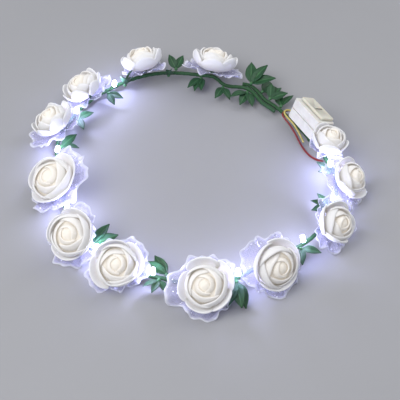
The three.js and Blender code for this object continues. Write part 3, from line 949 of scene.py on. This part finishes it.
def make_sprig_tree(name):
    """Geometry nodes for a sprig: leaves fanned about a heading on a small knot."""
    tree, given, result = new_group(name, "GeometryNodeTree", {
        "Base": "Geometry", "Leaf": "Object", "Leaves": "Int", "Spread": "Float", "Heading": "Float",
        "Pitch": "Float", "Size": "Float", "Knot": "Float", "Root": "Vector", "Seed": "Int",
        "Finish": "Material"}, {"Sprig": "Geometry"})
    roots = add_node(tree, "GeometryNodeMeshLine", {"Count": given["Leaves"], "Offset": (0, 0, 0)})
    index = add_node(tree, "GeometryNodeInputIndex").outputs["Index"]
    share = work_out(tree, "DIVIDE", index, work_out(tree, "SUBTRACT", given["Leaves"], 1.0))
    fan = work_out(tree, "MULTIPLY", work_out(tree, "SUBTRACT", share, 0.5), given["Spread"])
    heading = work_out(tree, "ADD", fan, given["Heading"])
    even = add_node(tree, "ShaderNodeCombineXYZ", {"X": given["Pitch"], "Z": heading}).outputs["Vector"]
    uneven = random_turn(tree, LEAF_UNEVEN, given["Seed"])
    turn = add_node(tree, "ShaderNodeVectorMath", {0: even, 1: uneven}, operation="ADD").outputs["Vector"]
    leaf = add_node(tree, "GeometryNodeObjectInfo", {"Object": given["Leaf"]}).outputs["Geometry"]
    fanned = copies_on(tree, roots.outputs["Mesh"], leaf, turn, given["Size"])
    knot = add_node(tree, "GeometryNodeMeshUVSphere", {
        "Segments": KNOT_SEGMENTS, "Rings": KNOT_RINGS, "Radius": given["Knot"]}).outputs["Mesh"]
    both = add_node(tree, "GeometryNodeJoinGeometry")
    for part in (fanned, smoothed(tree, knot)):
        tree.links.new(part, both.inputs["Geometry"])
    placed = add_node(tree, "GeometryNodeTransform", {
        "Geometry": both.outputs["Geometry"], "Translation": given["Root"]})
    end_tree(tree, placed.outputs["Geometry"], given["Finish"], result["Sprig"])
    return tree


def make_glitter_tree(name):
    """Geometry nodes for glitter: thin flecks scattered on a film, each tilted a little."""
    tree, given, result = new_group(name, "GeometryNodeTree", {
        "Film": "Geometry", "Flecks": "Float", "Fleck": "Float", "Lift": "Float", "Seed": "Int",
        "Finish": "Material"}, {"Glitter": "Geometry"})
    scatter = add_node(tree, "GeometryNodeDistributePointsOnFaces", {
        "Mesh": given["Film"], "Density": given["Flecks"], "Seed": given["Seed"]}).outputs
    lifted = raised(tree, scatter["Points"], scatter["Normal"], given["Lift"])
    depth = work_out(tree, "MULTIPLY", given["Fleck"], FLECK_DEPTH)
    disc = add_node(tree, "GeometryNodeMeshCylinder", {
        "Vertices": FLECK_SIDES, "Radius": given["Fleck"], "Depth": depth}).outputs["Mesh"]
    smallest, largest = FLECK_SIZES
    size = add_node(tree, "FunctionNodeRandomValue", {
        2: smallest, 3: largest, "Seed": given["Seed"]}).outputs[1]
    flat = copies_on(tree, lifted, disc, scatter["Rotation"], size)
    tilted = add_node(tree, "GeometryNodeRotateInstances", {
        "Instances": flat, "Rotation": random_turn(tree, FLECK_TILT, given["Seed"])})
    end_tree(tree, tilted.outputs["Instances"], given["Finish"], result["Glitter"])
    return tree


def aim_at(thing, place, target):
    """Puts a camera or a lamp at a place and turns it to a target."""
    thing.location = place
    thing.rotation_euler = (place - target).to_track_quat("Z", "Y").to_euler()


def make_camera(stage):
    """The camera at the photograph's angle."""
    data = bpy.data.cameras.new("camera")
    data.lens = stage.lens
    data.sensor_width = SENSOR_WIDTH
    data.clip_start = CLIP_START
    camera = link(bpy.data.objects.new("camera", data))
    target = RING + Vector(stage.aim)
    back = unit_at(-90, math.degrees(stage.elevation))
    aim_at(camera, target + back * stage.distance, target)
    bpy.context.scene.camera = camera


def soft_light(name, place, power):
    """A large square soft light that shines on the crown."""
    data = bpy.data.lights.new(name, "AREA")
    data.size = SOFT_LIGHT_SIZE
    data.energy = power
    aim_at(link(bpy.data.objects.new(name, data)), place, RING)


class CROWN_OT_stage(bpy.types.Operator):
    """Make the camera, the floor and the soft light"""
    bl_idname = "crown.stage"
    bl_label = "Stage"

    def execute(self, context):
        stage = context.scene.crown.stage
        make_camera(stage)
        corners = [Vector((x, y, 0)) * FLOOR_REACH for x, y in ((-1, -1), (1, -1), (1, 1), (-1, 1))]
        mesh = bpy.data.meshes.new("floor")
        mesh.from_pydata(corners, [], [(0, 1, 2, 3)])
        mesh.materials.append(floor_finish(stage))
        link(bpy.data.objects.new("floor", mesh))
        soft_light("key light", KEY_PLACE, stage.key)
        soft_light("fill light", FILL_PLACE, stage.key * FILL_SHARE)
        world = bpy.data.worlds.new("studio")
        world.use_nodes = True
        sky = world.node_tree.nodes["Background"].inputs
        sky["Color"].default_value = opaque(COOL_WHITE)
        sky["Strength"].default_value = stage.sky
        context.scene.world = world
        context.scene.view_settings.view_transform = "Standard"
        return {"FINISHED"}


def make_lead(name, route, diameter, finish, node):
    """A lead as one smooth curve through its route's points."""
    curve = bpy.data.curves.new(name, "CURVE")
    curve.dimensions = "3D"
    curve.bevel_depth = diameter / 2
    curve.bevel_resolution = LEAD_SIDES
    curve.resolution_u = LEAD_STEPS
    curve.use_fill_caps = True
    spline = curve.splines.new("BEZIER")
    spline.bezier_points.add(len(route) - 1)
    for knot, point in zip(spline.bezier_points, route):
        knot.co = RING + Vector(point)
        knot.handle_left_type = "AUTO"
        knot.handle_right_type = "AUTO"
    curve.materials.append(finish)
    lead = link(bpy.data.objects.new(name, curve))
    settle(lead, node, node)


class CROWN_OT_leads(bpy.types.Operator):
    """Make the yellow and the red lead beside the battery case"""
    bl_idname = "crown.leads"
    bl_label = "Leads"

    def execute(self, context):
        leads = context.scene.crown.leads
        for name, route, colour in (("yellow", YELLOW_ROUTE, leads.yellow), ("red", RED_ROUTE, leads.red)):
            finish = lead_finish(f"{name} lead", colour)
            make_lead(f"{name}_lead", route, leads.diameter, finish, f"lead_{name}")
        return {"FINISHED"}


class CROWN_OT_stem(bpy.types.Operator):
    """Make the stem with its spiral of tape"""
    bl_idname = "crown.stem"
    bl_label = "Taped stem"

    def execute(self, context):
        green = context.scene.crown.green
        path = stem_path()
        mesh = bpy.data.meshes.new("stem path")
        mesh.from_pydata([RING + point for point in path], [(i, i + 1) for i in range(len(path) - 1)], [])
        base = link(bpy.data.objects.new("stem path", mesh))
        tree = shared_group("taped stem", make_stem_tree)
        stem = made_by_nodes("taped_stem", base, tree, {
            "Radius": STEM_RADIUS - green.step / 2, "Tape pitch": green.pitch, "Tape step": green.step,
            "Ring spacing": green.spacing, "Finish": tape_finish(green)})
        settle(stem, "wrapped_stem", "vine_stem")
        return {"FINISHED"}


def profile_at(profile, share):
    """A point of a profile at a share of its length, on a smooth curve through its rows."""
    last = len(profile) - 1
    place = min(max(share, 0), 1) * last
    start = min(int(place), last - 1)
    step = place - start
    rows = [Vector(profile[min(max(start + k, 0), last)]) for k in (-1, 0, 1, 2)]
    slope_in = (rows[2] - rows[0]) / 2
    slope_out = (rows[3] - rows[1]) / 2
    square = step * step
    cube = square * step
    return (rows[1] * (2 * cube - 3 * square + 1) + slope_in * (cube - 2 * square + step)
            + rows[2] * (3 * square - 2 * cube) + slope_out * (cube - square))


def petal_corner(whorl, petal, across, along):
    """A corner of a petal before its flower's place: across from -1 to 1, along from 0 at the base to 1."""
    reach = along * (1 - whorl.rounding * abs(across) ** petal.blunt)
    radius, height = profile_at(whorl.profile, reach)
    closed = (1 - petal.opening) * whorl.give * reach ** 2
    radius *= (1 - CLOSED_PULL * closed) * petal.size
    radius += whorl.wrap * across * reach
    height += CLOSED_RISE * closed
    height += whorl.lean * across * reach - whorl.roll * abs(across) ** 3 * reach ** 2
    height += petal.frill * math.sin(petal.phase + LIP_WAVE * across) * reach ** 3
    half = petal.half * (PETAL_BASE_WIDTH + (1 - PETAL_BASE_WIDTH) * smooth_step(reach, 0, PETAL_FULL_WIDTH))
    turn = petal.turn + across * half
    point = Vector((radius * math.cos(turn), radius * math.sin(turn), height))
    # The value marks the painted creamy shade and glow: more on the inner whorls and towards a petal's base
    deep = 1 - smooth_step(reach, *FOLD_SHADE_FADE)
    return point, (across, along), whorl.warm + (1 - whorl.warm) * FOLD_SHADE_AND_GLOW * deep


def petal_grid(whorl, petal):
    """The rows of a petal's corners."""
    rows = []
    for j in range(PETAL_ROWS):
        along = j / (PETAL_ROWS - 1)
        places = [2 * i / (PETAL_COLUMNS - 1) - 1 for i in range(PETAL_COLUMNS)]
        rows.append([petal_corner(whorl, petal, across, along) for across in places])
    return rows


def fitted(flower, rows, width, lean):
    """Rows in millimetres made the flower's own size, in metres, and tipped by lean degrees inside it."""
    swell = width * flower.rose / ROSE_RADIUS
    size = Matrix.Diagonal((swell * MM, swell * MM, MM))
    pivot = UP * LEAN_HEIGHT * MM
    turn = Matrix.Rotation(math.radians(lean), 3, unit_at(flower.turn, 0))
    return [[(pivot + turn @ (size @ point - pivot), uv, value) for point, uv, value in row] for row in rows]


def make_rose(flower, index, finish, thickness):
    """The petals of a rose: whorls of foam petals wrapped round a closed core."""
    draw = random.Random(ROSE_SEED + index)
    shape = Shape()
    for level, whorl in enumerate(WHORLS):
        count = max(whorl.petals, flower.outer - PETALS_FEWER * level)
        apart = 0 if level else flower.apart
        width = flower.bud if level else 1
        lean = flower.lean if level else 0
        first = math.radians(flower.turn) + level * WHORL_TURN
        for k in range(count):
            petal = Petal(
                turn=first + 2 * math.pi * k / count + draw.uniform(*TURN_RANGE),
                half=whorl.overlap * math.pi / count * draw.uniform(*WIDTH_RANGE),
                size=draw.uniform(*SIZE_RANGE),
                opening=flower.opening + apart * (-1) ** k,
                blunt=flower.blunt * draw.uniform(*BLUNT_RANGE),
                frill=draw.uniform(*FRILL_RANGE),
                phase=draw.uniform(0, 2 * math.pi))
            shape.add_grid(fitted(flower, petal_grid(whorl, petal), width, lean))
    # The core gets the most painted creamy shade and glow
    core = lathe_rows(CORE_PROFILE, CORE_SEGMENTS, CORE_SHADE_AND_GLOW)
    shape.add_grid(fitted(flower, core, flower.bud, flower.lean), wrap=True)
    rose = shape.piece(numbered("foam_rose", index), "fold", flower_place(flower), finish)
    thicken(rose, thickness)
    soften(rose, levels=1)
    settle(rose, "foam", numbered("rose", index))


class CROWN_OT_roses(bpy.types.Operator):
    """Make the foam roses and the posts that they stand on"""
    bl_idname = "crown.roses"
    bl_label = "Roses"

    def execute(self, context):
        crown = context.scene.crown
        petals = foam_finish(crown.foam)
        tape = bpy.data.materials["stem tape"]
        for index, flower in enumerate(FLOWERS):
            make_rose(flower, index, petals, crown.foam.thickness)
            post = Shape()
            post.add_lathe(POST_PROFILE, POST_SEGMENTS, 1)
            piece = post.piece(numbered("rose_post", index), "lap", flower_place(flower), tape)
            settle(piece, "wrapped_stem")
        return {"FINISHED"}


def pleat(turn):
    """A pleat's sharp rise and fall, from -1 to 1."""
    return math.asin(math.sin(turn)) * 2 / math.pi


def film_reach(flower, flaps, phases, turn):
    """How far a film reaches at a turn about its flower's axis, with its lobes and its flaps."""
    lobes = zip(FILM_LOBES, phases)
    share = 1 + sum(depth * math.sin(count * turn + phase) for (count, depth), phase in lobes)
    for flap_turn, size in flaps:
        away = (math.degrees(turn) - flap_turn + 180) % 360 - 180
        share += size * math.exp(-(away / FLAP_WIDTH) ** FLAP_POWER)
    return flower.ruffle * share


def film_corner(flower, flaps, phases, share, turn):
    """A corner of a film in the flower's frame: share from 0 at the hole to 1 at the rim."""
    pleats = zip(FILM_PLEATS, reversed(phases))
    wave = sum(depth * pleat(count * turn + phase) for (count, depth), phase in pleats)
    radius = FILM_HOLE + (film_reach(flower, flaps, phases, turn) - FILM_HOLE) * share
    height = FILM_HOLE_HEIGHT + (FILM_RIM_HEIGHT - FILM_HOLE_HEIGHT) * share
    height += wave * share ** PLEAT_POWER
    return Vector((radius * math.cos(turn), radius * math.sin(turn), height))


def film_shape(flower, index):
    """The pleated film behind a rose, in the crown's frame, flattened where it meets the table."""
    draw = random.Random(FILM_SEED + index)
    phases = [draw.uniform(0, 2 * math.pi) for _ in FILM_PLEATS]
    place = flower_place(flower)
    rows = []
    for j in range(FILM_ROWS):
        share = j / (FILM_ROWS - 1)
        row = []
        for i in range(FILM_COLUMNS):
            turn = 2 * math.pi * i / FILM_COLUMNS
            point = place @ film_corner(flower, FILM_FLAPS[index], phases, share, turn)
            point.z = max(point.z, FLOOR_CLEARANCE)
            # The last value marks the highlight painted along the rim
            row.append((point, (i / FILM_COLUMNS, share), share ** RIM_HIGHLIGHT_POWER))
        rows.append(row)
    shape = Shape()
    shape.add_grid(rows, wrap=True)
    return shape


class CROWN_OT_film(bpy.types.Operator):
    """Make the clear film behind each rose, with its glitter"""
    bl_idname = "crown.film"
    bl_label = "Film and glitter"

    def execute(self, context):
        film = context.scene.crown.film
        clear = film_finish(film)
        pale = glitter_finish(film)
        tree = shared_group("glitter", make_glitter_tree)
        for index, flower in enumerate(FLOWERS):
            shape = film_shape(flower, index)
            base = shape.piece("glitter base", "rim", Matrix.Identity(4))
            glitter = made_by_nodes(numbered("film_glitter", index), base, tree, {
                "Flecks": film.flecks, "Fleck": film.fleck, "Lift": film.thickness,
                "Seed": film.seed + index, "Finish": pale})
            settle(glitter, "film")
            piece = shape.piece(numbered("clear_film", index), "rim", Matrix.Identity(4), clear)
            thicken(piece, film.thickness)
            settle(piece, "film", numbered("ruffle", index))
        return {"FINISHED"}


class CROWN_OT_lights(bpy.types.Operator):
    """Make the lit lamps on the stem"""
    bl_idname = "crown.lights"
    bl_label = "Lights"

    def execute(self, context):
        lights = context.scene.crown.lights
        finish = lamp_finish(lights, context.scene.crown.green)
        for index, angle in enumerate(LED_ANGLES):
            axis = unit_at(angle + 180, 90 - LED_LEAN)
            place = place_along(stem_point(angle) + axis * (STEM_RADIUS + LED_STAND_OFF), axis)
            shape = Shape()
            shape.add_lathe(LED_FOOT + LED_DOME[:1], LED_SEGMENTS, 0)
            shape.add_lathe(LED_DOME, LED_SEGMENTS, 1)
            lamp = shape.piece(numbered("lamp", index), "lit", place, finish)
            lamp.visible_shadow = False
            settle(lamp, "light", numbered("led", index))
            data = bpy.data.lights.new(numbered("lamp_light", index), "POINT")
            data.energy = lights.power
            data.color = lights.colour
            data.shadow_soft_size = LED_DOME[0][0] * MM
            glow = link(bpy.data.objects.new(data.name, data))
            glow.location = place @ Vector((0, 0, LED_GLOW_HEIGHT))
        return {"FINISHED"}


def leaf_half_width(share):
    """Half a leaf's width at a share of its length."""
    if share < LEAF_WIDEST:
        swell = math.sin(math.pi / 2 * share / LEAF_WIDEST)
    else:
        swell = math.cos(math.pi / 2 * ((share - LEAF_WIDEST) / (1 - LEAF_WIDEST)) ** LEAF_TAPER)
    return max(LEAF_STALK_WIDTH / 2, LEAF_WIDTH / 2 * swell)


def make_leaf():
    """One leaf along +Y, folded along its midrib, with a short stalk behind the origin."""
    rows = []
    for j in range(LEAF_ROWS):
        along = -LEAF_STALK + (LEAF_LENGTH + LEAF_STALK) * j / (LEAF_ROWS - 1)
        half = leaf_half_width(max(0, along / LEAF_LENGTH))
        row = []
        for i in range(LEAF_COLUMNS):
            across = 2 * i / (LEAF_COLUMNS - 1) - 1
            height = LEAF_FOLD * abs(across) * half - LEAF_DROOP * along ** 2
            row.append((Vector((across * half, along, height)), (across, along / LEAF_LENGTH), abs(across)))
        rows.append(row)
    shape = Shape()
    shape.add_grid(rows)
    leaf = shape.piece("leaf blade", "across", Matrix.Identity(4))
    thicken(leaf, LEAF_THICKNESS)
    return leaf


def sprig_root(sprig):
    """Where a sprig's knot sits beside the stem."""
    side = math.radians(sprig.side)
    away = unit_at(sprig.angle, 0) * math.cos(side) + UP * math.sin(side)
    return RING + stem_point(sprig.angle) + away * (STEM_RADIUS + STEM_GAP + LEAF_KNOT)


class CROWN_OT_leaves(bpy.types.Operator):
    """Make the sprigs of leaves"""
    bl_idname = "crown.leaves"
    bl_label = "Leaves"

    def execute(self, context):
        green = context.scene.crown.green
        finish = leaf_finish(green)
        leaf = make_leaf()
        tree = shared_group("sprig", make_sprig_tree)
        for index, sprig in enumerate(SPRIGS):
            base = link(bpy.data.objects.new("sprig base", bpy.data.meshes.new("sprig base")))
            piece = made_by_nodes(numbered("leaf_sprig", index), base, tree, {
                "Leaf": leaf, "Leaves": sprig.leaves, "Spread": math.radians(sprig.spread),
                "Heading": math.radians(sprig.angle + sprig.yaw - 90), "Pitch": math.radians(sprig.pitch),
                "Size": sprig.length / LEAF_LENGTH, "Knot": LEAF_KNOT, "Root": sprig_root(sprig),
                "Seed": green.seed + index, "Finish": finish})
            settle(piece, "leaf", numbered("sprig", index))
        bpy.data.objects.remove(leaf)
        return {"FINISHED"}


def rounded_outline(length, width, radius, inset, height):
    """A rectangle from the origin with round corners, drawn in by inset, at a height."""
    corners = ((length - radius, radius, -90), (length - radius, width - radius, 0),
               (radius, width - radius, 90), (radius, radius, 180))
    outline = []
    for x, y, start in corners:
        for i in range(CORNER_STEPS + 1):
            away = unit_at(start + 90 * i / CORNER_STEPS, 0) * (radius - inset)
            outline.append(Vector((x, y, height)) + away)
    return outline


def rounded_block(length, width, height, radius, fillet):
    """A block with round corners and filleted edges, standing on the origin's level."""
    turns = [math.pi / 2 * i / FILLET_STEPS for i in range(FILLET_STEPS + 1)]
    levels = [(1 - math.sin(turn), fillet * (1 - math.cos(turn))) for turn in turns]
    levels += [(1 - math.cos(turn), height - fillet * (1 - math.sin(turn))) for turn in turns]
    shape = Shape()
    shape.add_stack([
        rounded_outline(length, width, radius, fillet * inset, level) for inset, level in levels])
    return shape


def case_place(offset):
    """The matrix of a piece of the battery case at an offset in the case's own frame."""
    turn = CASE_TURN.to_matrix().to_4x4()
    return Matrix.Translation(RING + CASE_CORNER) @ turn @ Matrix.Translation(offset)


def make_case_piece(name, shape, offset, finish):
    """A piece of the battery case with crisp flat faces and soft edges."""
    piece = shape.piece(name, "level", case_place(offset), finish)
    even = piece.modifiers.new("flat faces", "WEIGHTED_NORMAL")
    even.keep_sharp = True
    return piece


def cut(piece, cutter):
    """Cuts one object out of another, with the cutter's finish inside the cut."""
    opening = piece.modifiers.new("cut", "BOOLEAN")
    opening.operation = "DIFFERENCE"
    opening.solver = "EXACT"
    opening.material_mode = "TRANSFER"
    opening.object = cutter
    made = plain_mesh(piece, piece.name)
    bpy.data.objects.remove(cutter)
    return made


class CROWN_OT_case(bpy.types.Operator):
    """Make the battery case: its two halves and the raised lid with its slot"""
    bl_idname = "crown.battery_case"
    bl_label = "Battery case"

    def execute(self, context):
        case = context.scene.crown.case
        shell = plastic_finish("case plastic", case.shell, case.grime)
        level = 0
        for name, height, node in (("case_lower_half", CASE_BASE_HEIGHT, "case_base"),
                                   ("case_upper_half", CASE_TOP_HEIGHT, "case_top")):
            half = rounded_block(CASE_LENGTH, CASE_WIDTH, height, CASE_CORNER_RADIUS, CASE_FILLET)
            settle(make_case_piece(name, half, UP * level, shell), "case_shell", node)
            level += height + CASE_GAP
        cover = rounded_block(LID_LENGTH, LID_WIDTH, LID_HEIGHT, LID_CORNER_RADIUS, LID_FILLET)
        lid = make_case_piece("case_raised_lid", cover, LID_START + UP * level,
                              plastic_finish("lid plastic", case.lid, case.grime))
        slot = rounded_block(
            SLOT_LENGTH, SLOT_WIDTH, SLOT_DEPTH + SLOT_ABOVE, SLOT_CORNER_RADIUS, SLOT_FILLET)
        turn = Matrix.Rotation(math.radians(SLOT_TURN), 4, "Z")
        middle = Matrix.Translation(Vector((-SLOT_LENGTH / 2, -SLOT_WIDTH / 2, 0)))
        floor = SLOT_MIDDLE + UP * (level + LID_HEIGHT - SLOT_DEPTH)
        place = case_place(floor) @ turn @ middle
        cutter = slot.piece("slot cutter", "level", place, slot_finish(case.slot))
        settle(cut(lid, cutter), "case_lid", "case_lid")
        return {"FINISHED"}


class CROWN_PT_panel(bpy.types.Panel):
    """The crown's settings and the buttons that make its pieces"""
    bl_idname = "CROWN_PT_panel"
    bl_label = "Flower crown"
    bl_space_type = "VIEW_3D"
    bl_region_type = "UI"
    bl_category = "Crown"

    def draw(self, context):
        for name in CrownSettings.__annotations__:
            box = self.layout.box()
            box.label(text=name.capitalize())
            group = getattr(context.scene.crown, name)
            for setting in type(group).__annotations__:
                box.prop(group, setting)
        for operator in OPERATORS:
            self.layout.operator(operator.bl_idname)


SETTINGS = (CrownFoam, CrownFilm, CrownGreen, CrownLights, CrownCase, CrownLeads, CrownStage,
            CrownSettings)
OPERATORS = (CROWN_OT_stage, CROWN_OT_leads, CROWN_OT_stem, CROWN_OT_roses, CROWN_OT_film,
             CROWN_OT_lights, CROWN_OT_leaves, CROWN_OT_case)


def register():
    """Registers the settings, the operators and the panel."""
    for kind in SETTINGS + OPERATORS + (CROWN_PT_panel,):
        bpy.utils.register_class(kind)
    bpy.types.Scene.crown = PointerProperty(type=CrownSettings)


def unregister():
    """Takes away what register added."""
    del bpy.types.Scene.crown
    for kind in reversed(SETTINGS + OPERATORS + (CROWN_PT_panel,)):
        bpy.utils.unregister_class(kind)


def main():
    """Makes the whole crown."""
    register()
    bpy.ops.crown.stage()
    bpy.ops.crown.leads()
    bpy.ops.crown.stem()
    bpy.ops.crown.roses()
    bpy.ops.crown.film()
    bpy.ops.crown.lights()
    bpy.ops.crown.leaves()
    bpy.ops.crown.battery_case()
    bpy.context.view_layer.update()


if __name__ == "__main__":
    main()
